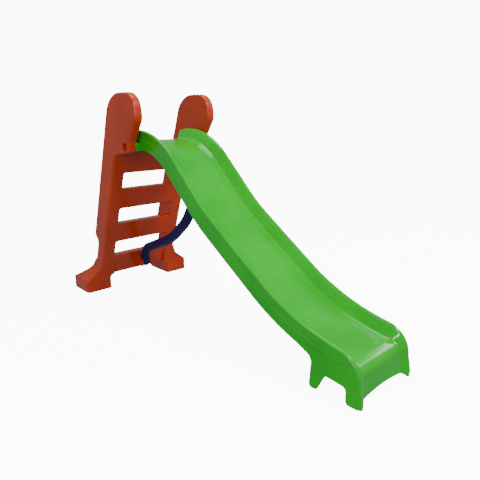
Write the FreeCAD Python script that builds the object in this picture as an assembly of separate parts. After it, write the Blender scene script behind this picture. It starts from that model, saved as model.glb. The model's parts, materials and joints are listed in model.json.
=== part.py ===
import FreeCAD, Part
import math
import os

# A child's garden slide that folds flat. A one-piece ladder leans forward and carries
# the chute on two pivot bolts through its ears. A bent strut ties the chute to the
# bottom rung. The ladder folds under the chute and the strut swings in between them.
#
# Frame: millimetres, +Z up, +X the way the child slides, +Y the child's left hand.
# The origin lies on the ground, under the middle of the whole slide. Every size below
# is measured along X from the line where the ladder's front face meets the ground.

# ---- ladder ----
LADDER_LEAN = 0.338            # forward run of the ladder for each unit of height
RAIL_INNER = 147.0             # half of the width between the rails
RAIL_WIDTH = 60.0
RAIL_DEPTH = 112.0
RAIL_FOOT_DEPTH = 73.0         # depth of the rail under the step in its rear face
RAIL_STEP_LOW = 240.0
RAIL_STEP_HIGH = 270.0
RAIL_STEP_ROUND = 20.0
WEB_DEPTH = 54.0               # depth of the rungs and of the top panel
BOTTOM_RUNG_Z = 68.0
FIRST_WINDOW_Z = 165.0
WINDOW_HEIGHT = 75.0
STEP_PITCH = 170.0
WINDOW_COUNT = 3
WINDOW_CORNER = 16.0
WINDOW_SILL_CORNER = 5.0
WEB_ROUND = 4.0                # rounding of the panel's and the rails' top edges
LADDER_WALL = 3.0
DRAIN_RADIUS = 5.0

# ---- ladder feet ----
FOOT_REAR = 119.0
FOOT_FRONT = 41.0
FOOT_STEP = 21.0               # how far each foot's inner face stands outside the rail's
FOOT_SPREAD = 123.0            # width of one foot
FOOT_EDGE_HEIGHT = 55.0
FOOT_SWEEP_TOP = 150.0
FOOT_SWEEP_RUN = 12.0          # corner of the sweep, out from the rail and down from its top
FOOT_SWEEP_DROP = 40.0
FOOT_SWEEP_RADIUS = 40.0
FOOT_INSTEP = (22.0, 50.0)     # rear corner of the sweep, behind the rail and down from its top
FOOT_TOE_RADIUS = 10.0
FOOT_HEEL_HEIGHT = 45.0
FOOT_TOE_HEIGHT = 76.0
FOOT_CORNER = 15.0

# ---- ears ----
EAR_THICKNESS = 39.0
EAR_ROOT_DROP = 93.0           # how far an ear's root lies under the start of the chute
EAR_RISE = 189.0               # height of the ear's top over the start of the chute
EAR_REAR_RADIUS = 110.0
EAR_BROW = 148.0               # the next four run forward, and up, from the start of the chute
EAR_NOSE = (162.0, 85.0)
EAR_CHEEK = (102.0, -5.0)
EAR_CHIN = (88.0, -53.0)
EAR_BROW_RADIUS = 72.0
EAR_NOSE_RADIUS = 45.0
EAR_CHEEK_RADIUS = 60.0
EAR_CHIN_RADIUS = 14.0
EAR_THROAT_RISE = 21.0
EAR_THROAT_RADIUS = 10.0
EAR_ROUND = 11.0
POCKET_BEHIND = 42.0           # pocket's rear wall and top, from the pivot
POCKET_ABOVE = 20.0
POCKET_DEPTH = 20.0

# ---- ladder pivot ----
PIVOT_AHEAD = 68.0             # pivot from the start of the chute
PIVOT_BELOW = 29.0
BOLT_RADIUS = 5.0
BOLT_HEAD_RADIUS = 12.0
BOLT_HEAD_HEIGHT = 6.0
BOLT_SOCKET_FLATS = 6.0
BOLT_SOCKET_DEPTH = 3.5
BOLT_TIP = 4.0                 # thread that stands out of the nut
BUSH_WALL = 3.0
BUSH_FLANGE_RADIUS = 16.0
BUSH_FLANGE = 2.0
WASHER_RADIUS = 10.5
BACKING_WASHER_RADIUS = 14.0
WASHER_THICKNESS = 2.0
NUT_FLATS = 17.0
NUT_HEIGHT = 8.0
BOSS_RADIUS = 20.0
BOSS_SEAT = 6.0                # how far the boss reaches inside the skirt
BUSH_COLLAR = 4.0              # solid plastic round the bush inside the hollow ear

# ---- chute line, followed by a point on the section's own zero height ----
CHUTE_START_Z = 733.0
CHUTE_REAR_GAP = 2.246         # from the ladder's front face forward to the chute's rear edge
START_SLOPE = 12.0
CREST_RADIUS = 318.0
STEEP_SLOPE = -43.9
STEEP_LENGTH = 192.0
UPPER_BEND_RADIUS = 855.0
MIDDLE_SLOPE = -33.7
RUNOUT_END_Z = 133.7           # height where the nose bend begins, which sets the middle run
RUNOUT_RADIUS = 832.0
RUNOUT_SLOPE = -10.4
RUNOUT_LENGTH = 34.0
NOSE_RADIUS = 60.0
FRONT_SLOPE = -83.0

# ---- chute section ----
SKIN = 4.0
SIDE_CLEARANCE = 1.0           # between the lips and the rails
CHUTE_HALF = RAIL_INNER - SIDE_CLEARANCE
BED_HEIGHT = -12.0
BED_HALF = CHUTE_HALF - 39.0
LIP_INNER = (CHUTE_HALF - 14.0, 30.0)
LIP_CROWN = (CHUTE_HALF - 7.0, 33.0)
LIP_OUTER = (CHUTE_HALF, 28.0)
SKIRT_TOP = (CHUTE_HALF - 7.0, -12.0)
SKIRT_FOOT = (CHUTE_HALF - 9.0, -50.0)
BED_FILLET = 14.0
LIP_FILLET = 4.0
TONGUE_LENGTH = 66.0
TONGUE_HALF = BED_HALF - 11.0

# ---- chute feet, forward from the point where the nose bend begins ----
PANEL_TOP_Z = 132.0
PANEL_FLARE = 12.0             # how far the panel leans out between its top and the ground
PANEL_REAR = -183.0
PANEL_FRONT = -1.0
PANEL_NOTCH = (-111.0, 101.0)  # where the skirt's edge turns down into the heel
PANEL_NOSE = (51.0, 108.0)     # hidden corner behind the nose bend
PANEL_ROUND = 20.0
PANEL_OVERLAP = 10.0           # how far the panel runs up behind the skirt
HEEL_REAR = -101.0
HEEL_TOP_Z = 84.0
HEEL_FRONT = -69.0
ARCH_REAR = -43.0
ARCH_FRONT = 38.0
ARCH_REAR_Z = 58.0
ARCH_FRONT_Z = 50.0
ARCH_ROUND = 12.0
ARCH_SETBACK = 6.0             # lean of the arch's front end
TOE_FRONT = 90.0
TOE_TOP_Z = 60.0
TOE_SETBACK = 8.0              # lean of the toe's front edge
FOOT_TIP_RADIUS = 13.0
FRONT_ARCH_HALF = CHUTE_HALF - 20.0
FRONT_ARCH_RISE = 22.0
FRONT_ARCH_SIDE = 10.0

# ---- strut ----
STRUT_RADIUS = 20.0
STRUT_WALL = 3.0
STRUT_FOOT_OUT = 55.08         # foot pin out from the ladder's front face
STRUT_FOOT_RISE = 44.0         # foot pin over the bottom rung's lower edge
STRUT_KNEE_RUN = (5.0, 72.0)   # knee from the foot
STRUT_LOW_RUN = (234.0, 164.0)     # lower bend from the foot
STRUT_HIGH_RUN = (-100.0, -185.0)  # upper bend from the head
STRUT_HEAD_ALONG = 73.0        # head along the steep run, and its depth under the chute line
STRUT_HEAD_DEPTH = 49.3
STRUT_BEND_RADII = [55.0, 350.0, 280.0]
STRUT_VENT_RADIUS = 3.0
STRUT_PIN_RADIUS = 5.0
STRUT_PIN_COLLAR = 4.0
STRUT_SIDE_GAP = 1.0
LUG_THICKNESS = 6.0
LUG_RADIUS = 15.0
LUG_BASE_HALF = 24.0
CLIP_RADIUS = 9.0
CLIP_THICKNESS = 3.0
CLIP_SPAN = 1.5                # pin that stands out of each clip

# ---- catch on the bottom rung ----
CATCH_PLATE = 5.0
CATCH_ABOVE = 30.0
CATCH_BELOW = 50.0
CHEEK_THICKNESS = 7.0
CHEEK_NOSE = 15.0              # the cheek round the foot pin: ahead, above and below it
CHEEK_TOP = 19.0
CHEEK_DROP = 18.0
CHEEK_SLANT = 8.0
CHEEK_RADII = [2.0, 12.0, 10.0, 4.0, 4.0, 2.0]
CATCH_SLOT_GAP = 0.6           # clearance round the foot pin, the pivot that opens
SLOT_RUN = (5.0, -27.0)       # way that the pin leaves, out from and down the ladder
SLOT_FLARE = 6.0
SCREW_RADIUS = 2.0
SCREW_LENGTH = 16.0
SCREW_HEAD_RADIUS = 4.5
SCREW_HEAD_HEIGHT = 2.6
SCREW_RISE = (18.0, -38.0)
FOOT_PIN_END = 1.0             # foot pin that stands out of each cheek

# ---- fits ----
RUNNING_FIT = 0.08
PRESS_GAP = 0.05
BOLT_GAP = 0.3
SEAT_GAP = 0.3

Vector = FreeCAD.Vector
SIDEWAYS = Vector(0, 1, 0)
SIDES = {"left": 1.0, "right": -1.0}

# ---- places that follow from the sizes above ----
CHUTE_START_X = LADDER_LEAN * CHUTE_START_Z + CHUTE_REAR_GAP
PIVOT_X = CHUTE_START_X + PIVOT_AHEAD
PIVOT_Z = CHUTE_START_Z - PIVOT_BELOW
RAIL_OUTER = RAIL_INNER + RAIL_WIDTH
EAR_INNER = RAIL_OUTER - EAR_THICKNESS
EAR_BASE_Z = CHUTE_START_Z - EAR_ROOT_DROP
FOOT_INNER = RAIL_INNER + FOOT_STEP
FOOT_OUTER = FOOT_INNER + FOOT_SPREAD


# ---------------------------------------------------------------- drawing helpers
def in_side_view(x, z, y=0.0):
    """A point from its place in the side view."""
    return Vector(x, y, z)


def rounded_wire(corners, radii):
    """A closed outline through the corners, each rounded to its own radius."""
    count = len(corners)
    starts = []
    ends = []
    middles = []
    for i in range(count):
        here = corners[i]
        back = (corners[i - 1] - here).normalize()
        ahead = (corners[(i + 1) % count] - here).normalize()
        half = back.getAngle(ahead) / 2.0
        reach = radii[i] / math.tan(half)
        towards = (back + ahead).normalize()
        starts.append(here + back * reach)
        ends.append(here + ahead * reach)
        middles.append(here + towards * (radii[i] / math.sin(half) - radii[i]))
    edges = []
    for i in range(count):
        if radii[i] > 0:
            edges.append(Part.Arc(starts[i], middles[i], ends[i]).toShape())
        following = starts[(i + 1) % count]
        if (following - ends[i]).Length > 1e-6:
            edges.append(Part.makeLine(ends[i], following))
    return Part.Wire(edges)


def rounded_face(corners, radii):
    """A flat face inside a rounded outline."""
    return Part.Face(rounded_wire(corners, radii))


def across(face, inner, outer):
    """A side-view face pushed sideways, from y = inner to y = outer."""
    moved = face.copy()
    moved.translate(Vector(0, inner, 0))
    return moved.extrude(Vector(0, outer - inner, 0))


def both_sides(solid):
    """A solid and its mirror image on the other side of the slide."""
    return [solid, solid.mirror(Vector(0, 0, 0), SIDEWAYS)]


def cylinder_across(x, z, radius, y_from, y_to):
    """A round bar that lies across the slide."""
    low = min(y_from, y_to)
    high = max(y_from, y_to)
    return Part.makeCylinder(radius, high - low, Vector(x, low, z), SIDEWAYS)


def ring_across(x, z, outer, inner, y_from, y_to):
    """A washer or sleeve that lies across the slide."""
    body = cylinder_across(x, z, outer, y_from, y_to)
    return body.cut(cylinder_across(x, z, inner, y_from, y_to))


def hexagon_across(x, z, flats, y_from, y_to):
    """A six-sided bar that lies across the slide."""
    corners = []
    for i in range(6):
        angle = math.radians(60.0 * i)
        radius = flats / 2.0 / math.cos(math.radians(30.0))
        corners.append(in_side_view(x + radius * math.cos(angle), z + radius * math.sin(angle)))
    corners.append(corners[0])
    return across(Part.Face(Part.makePolygon(corners)), min(y_from, y_to), max(y_from, y_to))


def fused(solids):
    """One clean solid from several that overlap or meet."""
    return solids[0].multiFuse(solids[1:]).removeSplitter()


def shrunk(face, inset):
    """A face with its outline moved inwards by a wall."""
    if inset == 0:
        return face
    return Part.Face(face.makeOffset2D(-inset).Wires[0])


# ---------------------------------------------------------------- chute line
def direction(slope):
    """The way along the chute at a slope in degrees."""
    return Vector(math.cos(math.radians(slope)), 0, math.sin(math.radians(slope)))


def upwards(slope):
    """The way square to the chute at a slope, away from the ground."""
    return Vector(-math.sin(math.radians(slope)), 0, math.cos(math.radians(slope)))


def bend_end(place, slope, end_slope, radius):
    """The centre and the far end of a bend in the chute line."""
    turn = 1.0 if end_slope > slope else -1.0
    centre = place + upwards(slope) * radius * turn
    return centre, centre - upwards(end_slope) * radius * turn


def middle_length():
    """The middle run's length, so that the run-out ends at its height."""
    place = in_side_view(CHUTE_START_X, CHUTE_START_Z)
    place = bend_end(place, START_SLOPE, STEEP_SLOPE, CREST_RADIUS)[1]
    place = place + direction(STEEP_SLOPE) * STEEP_LENGTH
    place = bend_end(place, STEEP_SLOPE, MIDDLE_SLOPE, UPPER_BEND_RADIUS)[1]
    bend_drop = bend_end(place, MIDDLE_SLOPE, RUNOUT_SLOPE, RUNOUT_RADIUS)[1].z - place.z
    straight_drop = direction(RUNOUT_SLOPE).z * RUNOUT_LENGTH
    return (RUNOUT_END_Z - place.z - bend_drop - straight_drop) / direction(MIDDLE_SLOPE).z


def chute_runs():
    """The chute line as runs: its kind, start, slope at both ends and size."""
    plan = [("bend", CREST_RADIUS, STEEP_SLOPE), ("straight", STEEP_LENGTH, None),
            ("bend", UPPER_BEND_RADIUS, MIDDLE_SLOPE), ("straight", middle_length(), None),
            ("bend", RUNOUT_RADIUS, RUNOUT_SLOPE), ("straight", RUNOUT_LENGTH, None),
            ("bend", NOSE_RADIUS, FRONT_SLOPE)]
    runs = []
    place = in_side_view(CHUTE_START_X, CHUTE_START_Z)
    slope = START_SLOPE
    for kind, size, end_slope in plan:
        if kind == "straight":
            runs.append((kind, place, slope, slope, size))
            place = place + direction(slope) * size
        else:
            runs.append((kind, place, slope, end_slope, size))
            place = bend_end(place, slope, end_slope, size)[1]
            slope = end_slope
    last = place.z / -direction(slope).z
    runs.append(("straight", place, slope, slope, last))
    return runs


def steep_point(along, depth):
    """A point by its way along the steep run and its depth under the chute line."""
    start = chute_runs()[1][1]
    return start + direction(STEEP_SLOPE) * along - upwards(STEEP_SLOPE) * depth


def nose_start_x():
    """Where the nose bend begins."""
    return chute_runs()[-2][1].x


def near_nose(ahead, z):
    """A side-view point measured forward from the start of the nose bend."""
    return in_side_view(nose_start_x() + ahead, z)


def section_corners():
    """The section's corners from one skirt to the other, across and up."""
    right_half = [SKIRT_FOOT, SKIRT_TOP, LIP_OUTER, LIP_CROWN, LIP_INNER, (BED_HALF, BED_HEIGHT)]
    left = [(-y, h) for y, h in right_half]
    return left + right_half[::-1]


def offset_corners(corners, distance):
    """The same corners on the other face of a skin of this thickness."""
    moved = []
    for i, (y, h) in enumerate(corners):
        normals = []
        for a, b in ((i - 1, i), (i, i + 1)):
            if a < 0 or b >= len(corners):
                continue
            run = math.hypot(corners[b][0] - corners[a][0], corners[b][1] - corners[a][1])
            across_run = (corners[b][1] - corners[a][1]) / run
            along_run = -(corners[b][0] - corners[a][0]) / run
            normals.append((across_run, along_run))
        mean_y = sum(n[0] for n in normals) / len(normals)
        mean_h = sum(n[1] for n in normals) / len(normals)
        scale = distance / (mean_y ** 2 + mean_h ** 2)
        moved.append((y + mean_y * scale, h + mean_h * scale))
    return moved


def section_face(place, slope):
    """The chute's section, standing square to the chute line."""
    top = section_corners()
    under = offset_corners(top, SKIN)
    half_top = [1.0, 3.0, LIP_FILLET, LIP_FILLET, LIP_FILLET, BED_FILLET]
    half_under = [1.0, 1.0, 1.0, 1.0, 1.0, BED_FILLET + SKIN]
    radii = half_top + half_top[::-1] + half_under + half_under[::-1]
    corners = [place + upwards(slope) * h + SIDEWAYS * y for y, h in top + under[::-1]]
    return rounded_face(corners, radii)


def chute_skin():
    """The moulded skin: bed, side walls, lips and skirts in one sweep."""
    pieces = []
    for kind, place, slope, end_slope, size in chute_runs():
        face = section_face(place, slope)
        if kind == "straight":
            pieces.append(face.extrude(direction(slope) * size))
        else:
            centre = bend_end(place, slope, end_slope, size)[0]
            pieces.append(face.revolve(centre, SIDEWAYS, slope - end_slope))
    return pieces


def tongue():
    """The flap behind the chute that bears on the ladder's top panel."""
    place = in_side_view(CHUTE_START_X, CHUTE_START_Z)
    back = direction(START_SLOPE) * -TONGUE_LENGTH
    over = direction(START_SLOPE) * 2.0
    low = upwards(START_SLOPE) * (BED_HEIGHT - SKIN)
    high = upwards(START_SLOPE) * BED_HEIGHT
    corners = [place + back + low, place + back + high, place + over + high, place + over + low]
    return across(rounded_face(corners, [1.5, 1.5, 0.0, 0.0]), -TONGUE_HALF, TONGUE_HALF)


def side_panel():
    """The panel with its two feet under one side of the run-out."""
    outline = [near_nose(PANEL_REAR, PANEL_TOP_Z), near_nose(*PANEL_NOTCH),
               near_nose(HEEL_REAR, HEEL_TOP_Z), near_nose(HEEL_REAR, 0.0),
               near_nose(HEEL_FRONT, 0.0), near_nose(ARCH_REAR, ARCH_REAR_Z),
               near_nose(ARCH_FRONT - ARCH_SETBACK, ARCH_FRONT_Z),
               near_nose(ARCH_FRONT, 0.0), near_nose(TOE_FRONT, 0.0),
               near_nose(TOE_FRONT - TOE_SETBACK, TOE_TOP_Z),
               near_nose(*PANEL_NOSE), near_nose(PANEL_FRONT, PANEL_TOP_Z)]
    tip = FOOT_TIP_RADIUS
    radii = [0.0, 14.0, 6.0, tip, tip, ARCH_ROUND, ARCH_ROUND, tip, tip, PANEL_ROUND, PANEL_ROUND, 0.0]
    side_view = across(rounded_face(outline, radii), BED_HALF, SKIRT_TOP[0] + 2.0 * PANEL_FLARE)
    inner = SKIRT_TOP[0] - SKIN - 1.0
    outer = SKIRT_TOP[0]
    x_from = nose_start_x() + PANEL_REAR - PANEL_OVERLAP
    z_top = PANEL_TOP_Z + PANEL_OVERLAP
    leaning = [Vector(x_from, inner, z_top), Vector(x_from, outer, z_top),
               Vector(x_from, outer + PANEL_FLARE, 0.0), Vector(x_from, inner + PANEL_FLARE, 0.0)]
    length = TOE_FRONT - PANEL_REAR + 2.0 * PANEL_OVERLAP
    slab = rounded_face(leaning, [0.0, 0.0, 0.0, 0.0]).extrude(Vector(length, 0, 0))
    return side_view.common(slab)


def side_arch_cut():
    """What the arch between the feet takes out of the skirt on one side."""
    below = -2.0 * ARCH_ROUND
    outline = [near_nose(HEEL_FRONT, below), near_nose(HEEL_FRONT, 0.0),
               near_nose(ARCH_REAR, ARCH_REAR_Z),
               near_nose(ARCH_FRONT - ARCH_SETBACK, ARCH_FRONT_Z),
               near_nose(ARCH_FRONT, 0.0), near_nose(ARCH_FRONT, below)]
    face = rounded_face(outline, [0.0, 0.0, ARCH_ROUND, ARCH_ROUND, 0.0, 0.0])
    return across(face, BED_HALF + BED_FILLET, SKIRT_TOP[0] + 2.0 * PANEL_FLARE)


def front_arch_cut():
    """What the low arch takes out of the front panel between the toes."""
    below = -2.0 * FRONT_ARCH_SIDE
    x_from = nose_start_x() + ARCH_FRONT - NOSE_RADIUS
    left = Vector(x_from, -FRONT_ARCH_HALF, below)
    left_up = Vector(x_from, -FRONT_ARCH_HALF, FRONT_ARCH_SIDE)
    crown = Vector(x_from, 0, FRONT_ARCH_RISE)
    right_up = Vector(x_from, FRONT_ARCH_HALF, FRONT_ARCH_SIDE)
    right = Vector(x_from, FRONT_ARCH_HALF, below)
    edges = [Part.makeLine(left, left_up), Part.Arc(left_up, crown, right_up).toShape(),
             Part.makeLine(right_up, right), Part.makeLine(right, left)]
    return Part.Face(Part.Wire(edges)).extrude(Vector(2.0 * NOSE_RADIUS, 0, 0))


def strut_lug():
    """One of the two ribs under the bed that hold the strut's hinge pin."""
    head = strut_head()
    root = steep_point(STRUT_HEAD_ALONG, SKIN / 2.0 - BED_HEIGHT)
    along = direction(STEEP_SLOPE)
    corners = [root - along * LUG_BASE_HALF, root + along * LUG_BASE_HALF,
               head + along * LUG_RADIUS, head - along * LUG_RADIUS]
    inner = STRUT_RADIUS + STRUT_SIDE_GAP
    web_plate = across(rounded_face(corners, [0.0, 0.0, 0.0, 0.0]), inner, inner + LUG_THICKNESS)
    eye = cylinder_across(head.x, head.z, LUG_RADIUS, inner, inner + LUG_THICKNESS)
    return fused([web_plate, eye])


def strut_head():
    """The strut's hinge, under the steep run."""
    return steep_point(STRUT_HEAD_ALONG, STRUT_HEAD_DEPTH)


def strut_foot():
    """The strut's foot pin, out from the bottom rung."""
    z = BOTTOM_RUNG_Z + STRUT_FOOT_RISE
    return in_side_view(front_face_x(z) + STRUT_FOOT_OUT / off_ladder().x, z)


def boss_outer_face():
    """How far out the pivot boss reaches, up to the bush flange."""
    return EAR_INNER - BUSH_FLANGE - SEAT_GAP


def boss_inner_face():
    """The flat seat of the backing washer inside the skirt."""
    return SKIRT_TOP[0] - BOSS_SEAT - SKIN


def chute():
    """The whole chute moulding, with its pivot holes and strut lugs."""
    skin = fused(chute_skin())
    skin = skin.cut(front_arch_cut())
    for cutter in both_sides(side_arch_cut()):
        skin = skin.cut(cutter)
    boss = cylinder_across(PIVOT_X, PIVOT_Z, BOSS_RADIUS, boss_inner_face(), boss_outer_face())
    added = both_sides(side_panel()) + both_sides(boss) + both_sides(strut_lug()) + [tongue()]
    body = fused([skin] + added)
    bolt_hole = cylinder_across(PIVOT_X, PIVOT_Z, BOLT_RADIUS + BOLT_GAP, -EAR_INNER, EAR_INNER)
    head = strut_head()
    pin_hole = cylinder_across(head.x, head.z, STRUT_PIN_RADIUS + PRESS_GAP, -BED_HALF, BED_HALF)
    depth = -SKIRT_FOOT[1]
    corner = Vector(0, -2.0 * RAIL_INNER, -depth)
    ground = Part.makeBox(2.0 * nose_start_x(), 4.0 * RAIL_INNER, depth, corner)
    return body.cut(bolt_hole).cut(pin_hole).cut(ground)


# ---------------------------------------------------------------- ladder
def front_face_x(z):
    """Where the ladder's front face lies at a height."""
    return LADDER_LEAN * z


def seat_height(behind):
    """Height of the tongue's seat, this far behind the ladder's front face."""
    place = in_side_view(CHUTE_START_X, CHUTE_START_Z)
    under = place + upwards(START_SLOPE) * (BED_HEIGHT - SKIN - SEAT_GAP)
    rise = math.tan(math.radians(START_SLOPE))
    return (under.z - (behind + under.x) * rise) / (1.0 - LADDER_LEAN * rise)


def rail_face():
    """Side view of a rail, with the step in its rear face."""
    front_top = seat_height(0.0)
    rear_top = seat_height(RAIL_DEPTH)
    corners = [in_side_view(front_face_x(BOTTOM_RUNG_Z), BOTTOM_RUNG_Z),
               in_side_view(front_face_x(front_top), front_top),
               in_side_view(front_face_x(rear_top) - RAIL_DEPTH, rear_top),
               in_side_view(front_face_x(RAIL_STEP_HIGH) - RAIL_DEPTH, RAIL_STEP_HIGH),
               in_side_view(front_face_x(RAIL_STEP_LOW) - RAIL_FOOT_DEPTH, RAIL_STEP_LOW),
               in_side_view(front_face_x(BOTTOM_RUNG_Z) - RAIL_FOOT_DEPTH, BOTTOM_RUNG_Z)]
    return rounded_face(corners, [0.0, WEB_ROUND, 0.0, RAIL_STEP_ROUND, RAIL_STEP_ROUND, 0.0])


def rail(inset):
    """One rail on the left, or its hollow."""
    face = shrunk(rail_face(), inset)
    return across(face, RAIL_INNER + inset, RAIL_OUTER - inset)


def foot_side_face():
    """Side view of a foot."""
    top_front = front_face_x(FOOT_SWEEP_TOP)
    top_rear = top_front - RAIL_FOOT_DEPTH
    corners = [in_side_view(-FOOT_REAR, 0.0), in_side_view(FOOT_FRONT, 0.0),
               in_side_view(FOOT_FRONT, FOOT_TOE_HEIGHT), in_side_view(top_front, FOOT_SWEEP_TOP),
               in_side_view(top_rear, FOOT_SWEEP_TOP),
               in_side_view(top_rear - FOOT_INSTEP[0], FOOT_SWEEP_TOP - FOOT_INSTEP[1]),
               in_side_view(-FOOT_REAR, FOOT_HEEL_HEIGHT)]
    return rounded_face(corners, [0.0, 0.0, FOOT_TOE_RADIUS, 0.0, 0.0, FOOT_SWEEP_RADIUS, FOOT_CORNER])


def foot_front_face():
    """Front view of a foot on the left, with the sweep up to the rail."""
    x = -FOOT_REAR - FOOT_CORNER
    corners = [Vector(x, FOOT_INNER, 0), Vector(x, FOOT_OUTER, 0),
               Vector(x, FOOT_OUTER, FOOT_EDGE_HEIGHT),
               Vector(x, RAIL_OUTER + FOOT_SWEEP_RUN, FOOT_SWEEP_TOP - FOOT_SWEEP_DROP),
               Vector(x, RAIL_OUTER, FOOT_SWEEP_TOP), Vector(x, RAIL_INNER, FOOT_SWEEP_TOP),
               Vector(x, RAIL_INNER, BOTTOM_RUNG_Z), Vector(x, FOOT_INNER, BOTTOM_RUNG_Z)]
    sweep = FOOT_SWEEP_RADIUS
    return rounded_face(corners, [0.0, 0.0, FOOT_CORNER, sweep, 0.0, 0.0, 0.0, FOOT_CORNER])


def foot(inset):
    """One foot on the left, or its hollow."""
    side_view = across(shrunk(foot_side_face(), inset), RAIL_INNER, FOOT_OUTER + FOOT_CORNER)
    length = FOOT_REAR + FOOT_CORNER + 2.0 * front_face_x(FOOT_SWEEP_TOP)
    front_view = shrunk(foot_front_face(), inset).extrude(Vector(length, 0, 0))
    return side_view.common(front_view)


def window(index, grow):
    """The opening above one rung, enlarged by a wall for the hollow."""
    low = FIRST_WINDOW_Z + STEP_PITCH * index - grow
    high = FIRST_WINDOW_Z + STEP_PITCH * index + WINDOW_HEIGHT + grow
    half = RAIL_INNER + grow
    x = -FOOT_REAR
    corners = [Vector(x, -half, low), Vector(x, half, low), Vector(x, half, high), Vector(x, -half, high)]
    sill = WINDOW_SILL_CORNER + grow
    head = WINDOW_CORNER + grow
    face = rounded_face(corners, [sill, sill, head, head])
    return face.extrude(Vector(PIVOT_X + FOOT_REAR, 0, 0))


def web(inset):
    """The rungs and the top panel between the rails, or their hollow."""
    front_top = seat_height(0.0)
    rear_top = seat_height(WEB_DEPTH)
    corners = [in_side_view(front_face_x(BOTTOM_RUNG_Z), BOTTOM_RUNG_Z),
               in_side_view(front_face_x(front_top), front_top),
               in_side_view(front_face_x(rear_top) - WEB_DEPTH, rear_top),
               in_side_view(front_face_x(BOTTOM_RUNG_Z) - WEB_DEPTH, BOTTOM_RUNG_Z)]
    face = shrunk(rounded_face(corners, [0.0, WEB_ROUND, WEB_ROUND, 0.0]), inset)
    reach = RAIL_INNER + RAIL_WIDTH / 2.0
    body = across(face, -reach, reach)
    for index in range(WINDOW_COUNT):
        body = body.cut(window(index, inset))
    return body


def from_start(ahead, rise):
    """A side-view point measured forward and up from the start of the chute."""
    return in_side_view(CHUTE_START_X + ahead, CHUTE_START_Z + rise)


def ear_face():
    """Side view of an ear: straight up the rail, round the top, down the bulge."""
    throat_z = EAR_BASE_Z + EAR_THROAT_RISE
    top_z = CHUTE_START_Z + EAR_RISE
    corners = [in_side_view(front_face_x(EAR_BASE_Z) - RAIL_DEPTH, EAR_BASE_Z),
               in_side_view(front_face_x(top_z) - RAIL_DEPTH, top_z),
               from_start(EAR_BROW, EAR_RISE), from_start(*EAR_NOSE),
               from_start(*EAR_CHEEK), from_start(*EAR_CHIN),
               in_side_view(front_face_x(throat_z), throat_z),
               in_side_view(front_face_x(EAR_BASE_Z), EAR_BASE_Z)]
    radii = [0.0, EAR_REAR_RADIUS, EAR_BROW_RADIUS, EAR_NOSE_RADIUS, EAR_CHEEK_RADIUS,
             EAR_CHIN_RADIUS, EAR_THROAT_RADIUS, 0.0]
    return rounded_face(corners, radii)


def pocket(grow):
    """The stepped recess for the bolt head in an ear's outer face."""
    corner = Vector(PIVOT_X - POCKET_BEHIND - grow, RAIL_OUTER - POCKET_DEPTH - grow, EAR_BASE_Z)
    height = PIVOT_Z + POCKET_ABOVE - EAR_BASE_Z
    return Part.makeBox(EAR_NOSE[0] + grow, POCKET_DEPTH + grow + 1.0, height + grow, corner)


def ear(inset):
    """One ear on the left, or its hollow."""
    body = across(shrunk(ear_face(), inset), EAR_INNER + inset, RAIL_OUTER - inset)
    if inset == 0:
        edges = [edge for edge in body.Edges if edge.BoundBox.YLength < 1.0 and edge.BoundBox.ZLength > 0.01]
        body = body.makeFillet(EAR_ROUND, edges)
    else:
        collar = bush_hole_radius() + BUSH_COLLAR
        body = body.cut(cylinder_across(PIVOT_X, PIVOT_Z, collar, 0, RAIL_OUTER))
    return body.cut(pocket(inset))


def bush_hole_radius():
    """Radius of the ear's hole for the bush."""
    return BOLT_RADIUS + RUNNING_FIT + BUSH_WALL + PRESS_GAP


def ladder():
    """The hollow ladder moulding with its holes."""
    parts = {}
    for name, inset in (("outside", 0.0), ("hollow", LADDER_WALL)):
        pieces = both_sides(rail(inset)) + both_sides(foot(inset)) + both_sides(ear(inset)) + [web(inset)]
        parts[name] = fused(pieces)
    body = parts["outside"].cut(parts["hollow"])
    body = body.cut(cylinder_across(PIVOT_X, PIVOT_Z, bush_hole_radius(), -RAIL_OUTER, RAIL_OUTER))
    drain_y = FOOT_INNER + FOOT_SPREAD / 2.0
    drain = Part.makeCylinder(DRAIN_RADIUS, LADDER_WALL * 2.0, Vector(-FOOT_REAR / 3.0, drain_y, -1.0))
    for hole in both_sides(drain):
        body = body.cut(hole)
    for rise in SCREW_RISE:
        body = body.cut(screw_bar(rise, SCREW_RADIUS + PRESS_GAP, -LADDER_WALL * 3.0, 1.0))
    return body


# ---------------------------------------------------------------- pivot fittings
def pivot_stack():
    """Where each pivot piece begins, out along Y from the nut to the bolt head."""
    stack = {"backing_outer": boss_inner_face()}
    stack["backing_inner"] = stack["backing_outer"] - WASHER_THICKNESS
    stack["nut_inner"] = stack["backing_inner"] - NUT_HEIGHT
    stack["bolt_tip"] = stack["nut_inner"] - BOLT_TIP
    stack["flange_inner"] = boss_outer_face() + SEAT_GAP / 2.0
    stack["flange_outer"] = EAR_INNER
    stack["bush_outer"] = RAIL_OUTER - POCKET_DEPTH + SEAT_GAP
    stack["washer_inner"] = stack["bush_outer"] + SEAT_GAP
    stack["head_inner"] = stack["washer_inner"] + WASHER_THICKNESS
    stack["head_outer"] = stack["head_inner"] + BOLT_HEAD_HEIGHT
    return stack


def pivot_bolt(stack, side):
    """A round-headed bolt with a six-sided socket."""
    shank = cylinder_across(PIVOT_X, PIVOT_Z, BOLT_RADIUS, side * stack["bolt_tip"],
                            side * stack["head_inner"])
    head = cylinder_across(PIVOT_X, PIVOT_Z, BOLT_HEAD_RADIUS, side * stack["head_inner"],
                           side * stack["head_outer"])
    rims = [edge for edge in head.Edges if abs(edge.CenterOfMass.y - side * stack["head_outer"]) < 0.1]
    head = head.makeFillet(BOLT_HEAD_HEIGHT * 0.7, rims)
    socket = hexagon_across(PIVOT_X, PIVOT_Z, BOLT_SOCKET_FLATS,
                            side * (stack["head_outer"] - BOLT_SOCKET_DEPTH),
                            side * (stack["head_outer"] + 1.0))
    return fused([shank, head]).cut(socket)


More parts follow.
